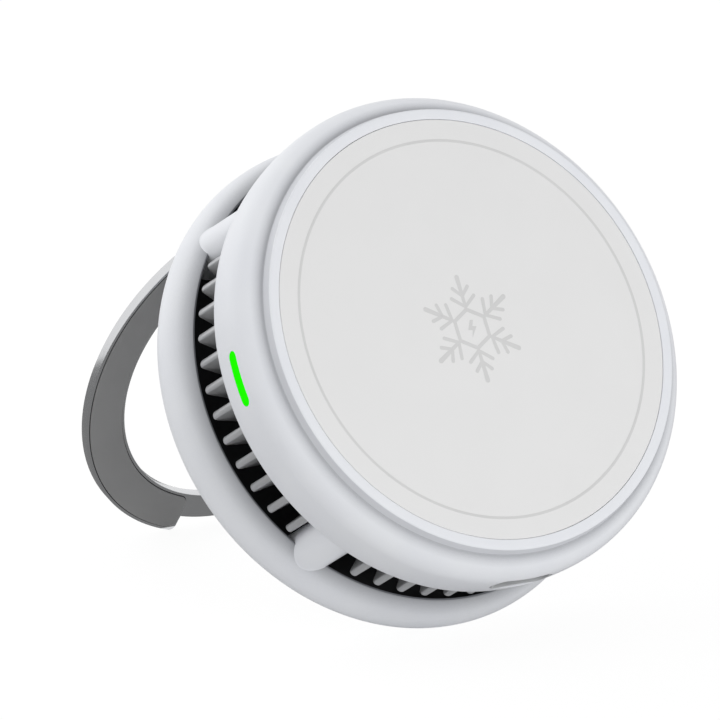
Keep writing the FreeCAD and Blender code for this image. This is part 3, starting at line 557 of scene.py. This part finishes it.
facePlate = {"radius": 28.0, "edgeRound": 0.12, "inkHeight": 0.012, "inkEdge": 0.002, "ringRadius": 25.17,
             "ringWidth": 0.36}
snowflake = {
    "arm": 7.26, "hexagon": 2.6, "armWidth": (0.42, 0.66), "hexagonWidth": 0.5, "barbWidth": (0.42, 0.5),
    "strokeStep": 0.0004,
    "barbs": ((2.95, 4.4, 1.9), (4.4, 5.72, 1.32)),     # root, and the tip's distance and offset
    "bolt": ((0.02, 1.2), (-0.62, -0.1), (0.0, -0.2), (-0.35, -1.18), (0.75, 0.22), (0.14, 0.32), (0.5, 1.1)),
}


def makeFacePlate():
    p = facePlate
    outline = softened([
        (0, 0), (p["radius"], 0, p["edgeRound"]),
        (p["radius"], plateThickness, p["edgeRound"]), (0, plateThickness)])
    asPiece("facePlate", lathed(outline, chargerAxes), faceSilicone, "housing", ["face_plate"])
    half = p["ringWidth"] / 2
    low, high = -p["inkHeight"], p["inkHeight"]
    circles = [arc((0, 0), p["ringRadius"] + side, 0, 359, 359) for side in (half, -half)]
    asPiece("printedRing", pressed(circles, low, high, p["inkEdge"], chargerAxes), printInk, "housing")


def stroke(start, finish, startWidth, finishWidth):
    # a tapered ink stroke with a round far end
    start, finish = Vector(start), Vector(finish)
    along = (finish - start).normalized()
    side = Vector((-along.y, along.x))
    heading = math.degrees(math.atan2(along.y, along.x))
    tipRadius = finishWidth / 2
    tip = arc(tuple(finish - along * tipRadius), tipRadius, heading - 90, heading + 90, 8)
    return [tuple(start + side * startWidth / 2), tuple(start - side * startWidth / 2), *tip]


def makeSnowflake():
    s = snowflake
    low, high = -facePlate["inkHeight"], facePlate["inkHeight"]
    strokes = [s["bolt"]]
    for number in range(6):
        heading = 90 + 60 * number

        def placed(along, aside):
            x, y = onCircle(along, heading)
            u, v = onCircle(aside, heading + 90)
            return x + u, y + v

        strokes.append(stroke(placed(s["hexagon"], 0), placed(s["arm"], 0), *s["armWidth"]))
        corner = onCircle(s["hexagon"], heading + 60)
        strokes.append(stroke(placed(s["hexagon"], 0), corner, s["hexagonWidth"], s["hexagonWidth"]))
        for root, reach, aside in s["barbs"]:
            for side in (-1, 1):
                strokes.append(stroke(placed(root, 0), placed(reach, side * aside), *s["barbWidth"]))
    # each stroke lies a hair higher than the last, so that no two share a plane
    meshes = [prism(outline, low, high + number * s["strokeStep"], chargerAxes)
              for number, outline in enumerate(strokes)]
    asPiece("printedSnowflake", joined(meshes), printInk, "housing")


makeFacePlate()
makeSnowflake()
print("front made")


# Heat sink with its swept fins

heatSink = {
    "radius": 30.0, "front": 8.53, "baseBack": 9.93, "finEnd": 17.75, "count": 54, "thickness": 1.05,
    "length": 12.0, "skew": 14.0, "phase": 2.92, "cornerRound": 0.4, "noseRound": 0.5, "backRound": 0.7,
    "layers": 9, "sunk": 0.4, "paintedShadeReach": 5.0, "baseRound": 0.2, "postRoom": 3.25, "roomDepths": (18.5, 9.9),
    "blockHalf": 11.5, "blockFront": 7.2,
}


def finForm(angle):
    # one fin in layers across its thickness, so that its nose and its back edge are round
    h = heatSink
    half = h["thickness"] / 2
    heading = h["phase"] + angle - h["skew"]
    tip, aside = onCircle(h["radius"], h["skew"])
    points, faces, rows = [], [], h["layers"]
    for row in range(rows):
        lean = -90 + 180 * row / (rows - 1)
        across = aside + half * math.sin(math.radians(lean))
        inset = half * h["noseRound"] * (1 - math.cos(math.radians(lean)))
        root, end = h["baseBack"] - h["sunk"], h["finEnd"] - inset * h["backRound"]
        outline = softened([(tip - h["length"], root), (tip - inset, root),
                            (tip - inset, end, h["cornerRound"]), (tip - h["length"], end)], steps=7)
        for along, depth in outline:
            x, y = onCircle(along, heading)
            u, v = onCircle(across, heading + 90)
            points.append((x + u, y + v, -depth))
        count = len(outline)
        if row:
            for number in range(count):
                after = (number + 1) % count
                here, back = row * count, (row - 1) * count
                faces.append((back + number, back + after, here + after, here + number))
    faces.append(tuple(range(count)))
    faces.append(tuple(range(rows * count - 1, (rows - 1) * count - 1, -1)))
    return points, faces


def clearOfPosts(angle):
    h = heatSink
    tip = Vector(onCircle(h["radius"], h["phase"] + angle))
    gaps = [(tip - Vector(onCircle(postPlaces["circle"], post))).length for post in postPlaces["angles"]]
    return min(gaps) > h["postRoom"] + h["thickness"] / 2


def makeHeatSink():
    h = heatSink
    base = lathed(softened([
        (0, h["front"]), (h["radius"], h["front"], h["baseRound"]),
        (h["radius"], h["baseBack"], h["baseRound"]), (0, h["baseBack"])]), chargerAxes)
    half = h["blockHalf"]
    block = prism([(-half, -half), (half, -half), (half, half), (-half, half)],
                  -h["front"] - 0.1, -h["blockFront"], chargerAxes)
    fins = []
    for number in range(h["count"]):
        angle = 360 * number / h["count"]
        form = asMesh(*finForm(angle), chargerAxes)
        if not clearOfPosts(angle):
            low, high = (-depth for depth in h["roomDepths"])
            for post in postPlaces["angles"]:
                around = arc(onCircle(postPlaces["circle"], post), h["postRoom"], 0, 352, 44)
                form = shaped(form, prism(around, low, high, chargerAxes), "DIFFERENCE")
        fins.append(form)
    mesh = joined([base, block, *fins])
    piece = asPiece("heatSink", mesh, castFins, "housing", ["heat_sink"], sharpAngle=50)
    # bare is 1 on the noses and falls to 0 down in the gaps, where the colour is painted dark as shade
    graded(piece, "clearOfPaintedShade", lambda radius, depth: 1 - (h["radius"] - radius) / h["paintedShadeReach"])


makeHeatSink()
print("heat sink made")


# Rear shell and its four posts

rearShell = {
    "lip": 30.0, "lipDepth": 18.24, "land": 0.3, "rim": 32.38, "rimDepth": 22.9, "backRound": 3.8,
    "back": 26.7, "recess": 26.45, "floor": 24.7, "wall": 1.3, "duct": 18.3, "ductFront": 17.7,
    "ductWall": 0.8, "roomHalf": 4.4, "roomFoot": 25.15, "roomTop": 33.7, "roomFront": 24.2,
    "roomBack": 27.5, "lean": 0.2, "landPaintedShade": 0.5, "lipPaintedShade": 0.3, "lipReach": 1.4,
}
posts = {"radius": 2.95, "top": 10.45, "foot": 24.0, "rooted": 0.3, "filletUp": 0.18, "filletOut": 0.14,
         "filletStart": 0.6}


def flankRadius():
    r = rearShell
    return arcRadius(r["rim"] - r["lip"] - r["land"], r["rimDepth"] - r["lipDepth"])


def makeRearShell():
    r = rearShell
    radius = flankRadius()
    sweep = math.degrees(math.asin((r["rimDepth"] - r["lipDepth"]) / radius))
    flank = arc((r["rim"] - radius, r["rimDepth"]), radius, -sweep, 0, 20)
    backEdge = arc((r["rim"] - r["backRound"], r["rimDepth"]), r["backRound"], 0, 90, 24)[1:]
    profile = softened([
        (r["lip"], r["lipDepth"], 0.1), *flank, *backEdge,
        (r["recess"], r["back"], 0.25), (r["recess"], r["floor"], 0.15),
        (r["duct"], r["floor"]), (r["duct"], r["ductFront"], 0.2),
        (r["duct"] + r["ductWall"], r["ductFront"], 0.2),
        (r["duct"] + r["ductWall"], r["floor"] - r["wall"]),
        (r["rim"] - r["wall"], r["floor"] - r["wall"])])
    shell = lathed(profile, chargerAxes)
    # room for the hinge, open to the back
    half, foot, top = r["roomHalf"], r["roomFoot"], r["roomTop"]
    pocket = prism([(-half, foot), (half, foot), (half, top), (-half, top)], -r["roomBack"], -r["roomFront"],
                   chargerAxes)
    shell = shaped(shell, pocket, "DIFFERENCE")
    piece = asPiece("rearShell", shell, shellWhite, "housing", ["rear_shell"])
    # painted shade: the vent's inside faces and those towards the fan are painted near black
    near, lined, inside = r["ductFront"] - 0.1, r["floor"] - r["wall"] + 0.05, r["rim"] - r["wall"] - 0.05
    refaced(piece, paintedShadeLining, lambda radius, depth, x, y: near < depth < lined and radius < inside and
            radius < r["lip"] + (depth - r["lipDepth"]) * r["lean"] + 0.05)
    # painted shade along the vent's lip: strongest on the land, fading up the flank
    edge = r["lip"] + r["land"] + 0.02

    def byTheVent(radius, depth):
        if depth > r["rimDepth"]:
            return 0
        return r["landPaintedShade"] if radius < edge else r["lipPaintedShade"] * (1 - (radius - edge) / r["lipReach"])

    graded(piece, "paintedShade", byTheVent)


def flankDepth(radius):
    # depth of the rear shell's outside at a radius, on its vent side
    r = rearShell
    inner = r["lip"] + r["land"]
    if radius <= inner:
        return r["lipDepth"]
    bend = flankRadius()
    reach = min(1, (radius - r["rim"] + bend) / bend)
    return r["rimDepth"] - math.sqrt(1 - reach * reach) * bend


def makePosts():
    p = posts
    steps, runs = 72, 10
    for number, angle in enumerate(postPlaces["angles"]):
        cx, cy = onCircle(postPlaces["circle"], angle)
        points, faces, count = [], [], 0
        for step in range(steps):
            dx, dy = onCircle(1, 360 * step / steps)
            edge = math.hypot(cx + dx * p["radius"], cy + dy * p["radius"])
            column = [(0, p["top"]), (p["radius"], p["top"])]
            seat = flankDepth(edge)
            share = max(0.0, min(1.0, (edge - rearShell["lip"]) / p["filletStart"]))
            up, out = p["filletUp"] * share, p["filletOut"] * share
            far = p["radius"] + out
            farDepth = flankDepth(math.hypot(cx + dx * far, cy + dy * far)) + 0.02
            for run in range(runs + 1):
                t = run / runs
                reach = p["radius"] + out * t * t
                depth = (seat - up) * (1 - t) ** 2 + 2 * seat * t * (1 - t) + farDepth * t * t
                column.append((reach, depth))
            foot = max(p["foot"], farDepth + p["rooted"])
            column += [(far - 0.1, foot), (0, foot)]
            count = len(column)
            for reach, depth in column:
                points.append((cx + dx * reach, cy + dy * reach, -depth))
            here, ahead = step * count, (step + 1) % steps * count
            for row in range(count - 1):
                faces.append((here + row, ahead + row, ahead + row + 1, here + row + 1))
        # the posts take the brighter copy: painted light, and none of the painted corner shade
        asPiece(f"post{number + 1}", asMesh(points, faces, chargerAxes), paintedLightRim, "housing")


makeRearShell()
makePosts()
print("rear shell made")


# Intake grille in the back

grille = {"radius": 18.2, "front": 23.4, "back": 24.7, "rimWidth": 1.4, "hub": 7.6, "slots": 20,
          "share": 0.55, "sweep": 26.0, "curl": 0.8, "edge": 0.14, "tube": 2.6, "bore": 0.8,
          "tubeFront": 19.4, "steps": 8,
          "trims": {0: 0.8, 1: 0.12, 7: 0.12, 8: 0.8}}     # degrees off a slot's ends, to round them


def makeGrille():
    g = grille
    outer, inner = g["radius"] - g["rimWidth"], g["hub"]
    width = 360 / g["slots"] * g["share"]
    outlines = [arc((0, 0), g["radius"], 0, 358, 179)]
    for number in range(g["slots"]):
        turn = 360 * number / g["slots"]
        lead, trail = [], []
        for step in range(g["steps"] + 1):
            t = step / g["steps"]
            radius = inner + (outer - inner) * t
            bend = -g["sweep"] * t ** g["curl"] + turn
            trim = g["trims"].get(step, 0)
            lead.append(onCircle(radius, bend + trim))
            trail.append(onCircle(radius, bend + width - trim))
        outlines.append([*lead, *reversed(trail)])
    disc = pressed(outlines, -g["back"], -g["front"], g["edge"], chargerAxes)
    tube = lathed([(g["bore"], g["tubeFront"]), (g["tube"], g["tubeFront"]),
                   (g["tube"], g["front"] + 0.1), (g["bore"], g["front"] + 0.1)], chargerAxes, 72)
    asPiece("intakeGrille", joined([disc, tube]), shellWhite, "housing", ["intake_grille"])


makeGrille()
print("grille made")


# Ring stand

standRing = {
    "radius": 26.1, "hole": 20.4, "front": 25.1, "back": 26.4, "notch": 23.85, "notchHalf": 15.5,
    "corner": 0.8, "cornerTurn": 2.5, "edge": 0.1, "knuckleHalf": 4.2, "knuckle": 1.1, "leafFoot": 25.6,
    "leafRound": 0.1,
}
standPad = {"inset": 0.5, "height": 0.2, "sunk": 0.05, "corner": 1.2, "outerTurn": 3.5, "innerTurn": 4,
            "edge": 0.06, "groove": 0.12, "grooveHeight": 0.01, "grooveEdge": 0.004}


def cornerArc(radius, line, turn, corner, outer):
    # a round corner where a circle about the middle meets a radial line; turn is +1 where the
    # band lies counter-clockwise of that line
    reach = radius - corner if outer else radius + corner
    angle = line + turn * math.degrees(math.asin(corner / reach))
    centre = onCircle(reach, angle)
    toLine = line - turn * 90
    toCircle = angle if outer else angle - turn * 180
    return arc(centre, corner, toLine, toCircle, 8)


def bandOutline(inner, outer, half, corner):
    # a band that is open at the bottom, with four round corners
    first, last = -90 + half, 270 - half
    outerTurn, innerTurn = standPad["outerTurn"], standPad["innerTurn"]
    outside = cornerArc(outer, first, 1, corner, True)
    outside += arc((0, 0), outer, first + outerTurn, last - outerTurn, 200)
    outside += reversed(cornerArc(outer, last, -1, corner, True))
    inside = cornerArc(inner, last, -1, corner, False)
    inside += arc((0, 0), inner, last - innerTurn, first + innerTurn, 200)
    inside += reversed(cornerArc(inner, first, 1, corner, False))
    return [*outside, *inside]


def makeStandRing():
    s = standRing
    first, last = -90 + s["notchHalf"], 270 - s["notchHalf"]
    outside = cornerArc(s["radius"], first, 1, s["corner"], True)
    outside += arc((0, 0), s["radius"], first + s["cornerTurn"], last - s["cornerTurn"], 240)
    outside += reversed(cornerArc(s["radius"], last, -1, s["corner"], True))
    outside += arc((0, 0), s["notch"], last, last + 2 * s["notchHalf"], 24)
    hole = arc((0, 0), s["hole"], 0, 358.5, 239)
    ring = pressed([outside, hole], -s["back"], -s["front"], s["edge"], standAxes)
    half, height = s["knuckleHalf"], hingePlace["height"]
    leaf = prism(softened([(s["leafFoot"], s["front"]), (s["leafFoot"], s["back"], s["leafRound"]),
                           (height, s["back"]), (height, s["front"])]), -half, half, standAxes, sideways)
    knuckle = prism(arc((height, hingePlace["depth"]), s["knuckle"], 0, 355, 71), -half, half, standAxes,
                    sideways)
    asPiece("standRing", joined([ring, leaf, knuckle]), chromedZinc, "stand", ["stand_ring"])
    p = standPad
    end = s["notchHalf"] + math.degrees(p["inset"] / s["radius"])
    outline = bandOutline(s["hole"] + p["inset"], s["radius"] - p["inset"], end, p["corner"])
    pad = pressed([outline], -s["front"] - p["sunk"], -s["front"] + p["height"], p["edge"], standAxes)
    asPiece("standPad", pad, greyPad, "stand", ["stand_pad"])
    # painted shade: a near-black strip shows round the pad, in its groove
    inset, end = p["inset"] - p["groove"], end - math.degrees(p["groove"] / s["radius"])
    outline = bandOutline(s["hole"] + inset, s["radius"] - inset, end, p["corner"] + p["groove"])
    groove = pressed([outline], -s["front"] - p["sunk"], -s["front"] + p["grooveHeight"], p["grooveEdge"],
                     standAxes)
    asPiece("padGroove", groove, paintedShadeLining, "stand")


makeStandRing()
print("stand made")


# Contacts on the socket's tongue

contacts = {"count": 12, "pitch": 0.5, "width": 0.25, "length": 3.6, "tongueEnd": 31.31, "depth": 5.95,
            "halfHeight": 0.35, "proud": 0.02, "sunk": 0.05, "setBack": 0.5}


def makeContacts():
    c = contacts
    strips = []
    for number in range(c["count"]):
        x = (number - (c["count"] - 1) / 2) * c["pitch"]
        left, right, far = x - c["width"] / 2, x + c["width"] / 2, c["setBack"] - c["tongueEnd"]
        outline = [(left, far), (right, far), (right, far + c["length"]), (left, far + c["length"])]
        for side in (-1, 1):
            low = -c["depth"] + side * (c["halfHeight"] - c["sunk"])
            high = -c["depth"] + side * (c["halfHeight"] + c["proud"])
            strips.append(prism(outline, low, high, chargerAxes))
    asPiece("socketContacts", joined(strips), goldFlash, "housing")


makeContacts()


# Floor, light and camera

studio = {"floorHalf": 1.5, "floorColour": "#DEDEDE", "floorGlow": (0.28, 0.9), "whiteLevel": 1.05,
          "mirrorShare": 0.7, "cardHalf": 0.3, "cardHeight": 0.0005, "cardColour": "#7E7E7E"}
room = {"level": 0.5, "mirrorShare": 0.78}


def seenBy(material, mirrorShare):
    # 1 for the camera, mirrorShare for mirrors, 0 for the light that falls on the charger
    path = addNode(material, "LightPath", {}, {})
    mirrored = addNode(material, "Math", {"operation": "MULTIPLY", 1: mirrorShare},
                       {0: path.outputs["Is Glossy Ray"]})
    seen = addNode(material, "Math", {"operation": "MAXIMUM"},
                   {0: path.outputs["Is Camera Ray"], 1: mirrored.outputs["Value"]})
    return seen.outputs["Value"]


def levelSquare(name, half, height, finish):
    corners = [(x * half, y * half, height) for x, y in ((-1, -1), (1, -1), (1, 1), (-1, 1))]
    mesh = bpy.data.meshes.new(name)
    mesh.from_pydata(corners, [], [(0, 1, 2, 3)])
    mesh.materials.append(finish)
    square = bpy.data.objects.new(name, mesh)
    bpy.context.scene.collection.objects.link(square)
    return square


def makeFloor():
    s = studio
    # pale painted board; the camera and mirrors see it nearly white, with a trace of its shadow
    board = newMaterial("palePaintedBoard", IOR=1.5, Specular_IOR_Level=0.0)
    grained(board, (s["floorColour"], s["floorColour"]), grain=1.0, relief=0.001, roughness=(0.78, 0.82))
    least, most = s["floorGlow"]
    share = addNode(board, "MapRange", {"To Min": least, "To Max": most},
                    {"Value": seenBy(board, s["mirrorShare"])})
    white = addNode(board, "Emission", {"Color": (1, 1, 1, 1), "Strength": s["whiteLevel"]}, {})
    surface = board.node_tree.nodes["Principled BSDF"]
    mix = addNode(board, "MixShader", {}, {"Fac": share.outputs["Result"], 1: surface.outputs["BSDF"],
                                           2: white.outputs["Emission"]})
    output = board.node_tree.nodes["Material Output"]
    board.node_tree.links.new(mix.outputs["Shader"], output.inputs["Surface"])
    floor = levelSquare("floor", s["floorHalf"], 0, board)
    # it blocks no lamp's light, wherever the lamp stands, but takes the charger's shadow
    floor.visible_shadow = False


def makeCard():
    # a grey card that only mirrors see: it gives the chrome its dark side, as in a photo studio;
    # it is evenly lit paper, so that no shadow of the charger shows in the chrome
    card = newMaterial("evenlyLitGreyCard", Roughness=0.9, Specular_IOR_Level=0.0, Emission_Strength=1.0,
                       Base_Color=(0, 0, 0, 1), Emission_Color=toLinear(studio["cardColour"]))
    piece = levelSquare("greyCard", studio["cardHalf"], studio["cardHeight"], card)
    piece.visible_camera = False
    piece.visible_diffuse = False
    piece.visible_shadow = False
    piece.visible_transmission = False


def makeRoom():
    # an even white room: the camera sees plain white, mirrors a shade less, so that chrome shows
    world = bpy.data.worlds.new("softRoom")
    world.use_nodes = True
    bpy.context.scene.world = world
    lift = addNode(world, "MapRange", {"To Min": room["level"], "To Max": 1.0},
                   {"Value": seenBy(world, room["mirrorShare"])})
    background = world.node_tree.nodes["Background"]
    world.node_tree.links.new(lift.outputs["Result"], background.inputs["Strength"])
    background.inputs["Color"].default_value = (1, 1, 1, 1)


# each softbox: the direction it stands in, as right, up and towards the camera, its distance
# and side in metres, and how much of a full white's light it gives a card that faces it
softboxes = {
    "keyUpperLeft": ((-0.8, 0.6, 0.22), 0.6, 0.75, 0.43),
    "edgeUpperLeft": ((-0.6, 0.76, -0.5), 0.6, 0.4, 0.3),
    "fillRight": ((0.72, 0.0, 0.69), 0.9, 0.6, 0.47),
}


def makeSoftboxes():
    across, up, back = cameraAxes()
    for name, (direction, distance, side, level) in softboxes.items():
        towards = (across * direction[0] + up * direction[1] + back * direction[2]).normalized()
        lamp = bpy.data.lights.new(name, "AREA")
        lamp.size = side
        lamp.energy = level * math.pi ** 2 * distance ** 2
        holder = bpy.data.objects.new(name, lamp)
        holder.location = faceMiddle + towards * distance
        holder.rotation_euler = towards.to_track_quat("Z", "Y").to_euler()
        # chrome mirrors the even room, not the boxes
        holder.visible_glossy = False
        bpy.context.scene.collection.objects.link(holder)


# distance and aim in mm, directions in the charger's own axes
view = {"distance": 2436.7, "lens": 962.0, "sensor": 36, "clip": (0.1, 20), "aimRight": -14.21,
        "aimUp": -3.97, "across": (0.8225, -0.2846, 0.4923), "up": (0.1382, 0.9399, 0.3124)}


def cameraAxes():
    turn = chargerAxes.to_3x3().normalized()
    across, up = (turn @ Vector(view[name]).normalized() for name in ("across", "up"))
    back = across.cross(up).normalized()
    return across, back.cross(across), back


def makeCamera():
    v = view
    across, up, back = cameraAxes()
    aim = faceMiddle + (across * v["aimRight"] + up * v["aimUp"]) * mm
    camera = bpy.data.cameras.new("photoView")
    camera.lens = v["lens"]
    camera.sensor_width = v["sensor"]
    camera.clip_start, camera.clip_end = v["clip"]
    holder = bpy.data.objects.new("photoView", camera)
    holder.matrix_world = Matrix.Translation(aim + back * v["distance"] * mm) @ \
        Matrix((across, up, back)).transposed().to_4x4()
    bpy.context.scene.collection.objects.link(holder)
    bpy.context.scene.camera = holder


makeFloor()
makeCard()
makeRoom()
makeSoftboxes()
makeCamera()
bpy.context.scene.view_settings.view_transform = "Standard"
print("room, light and camera made")

bpy.context.view_layer.update()
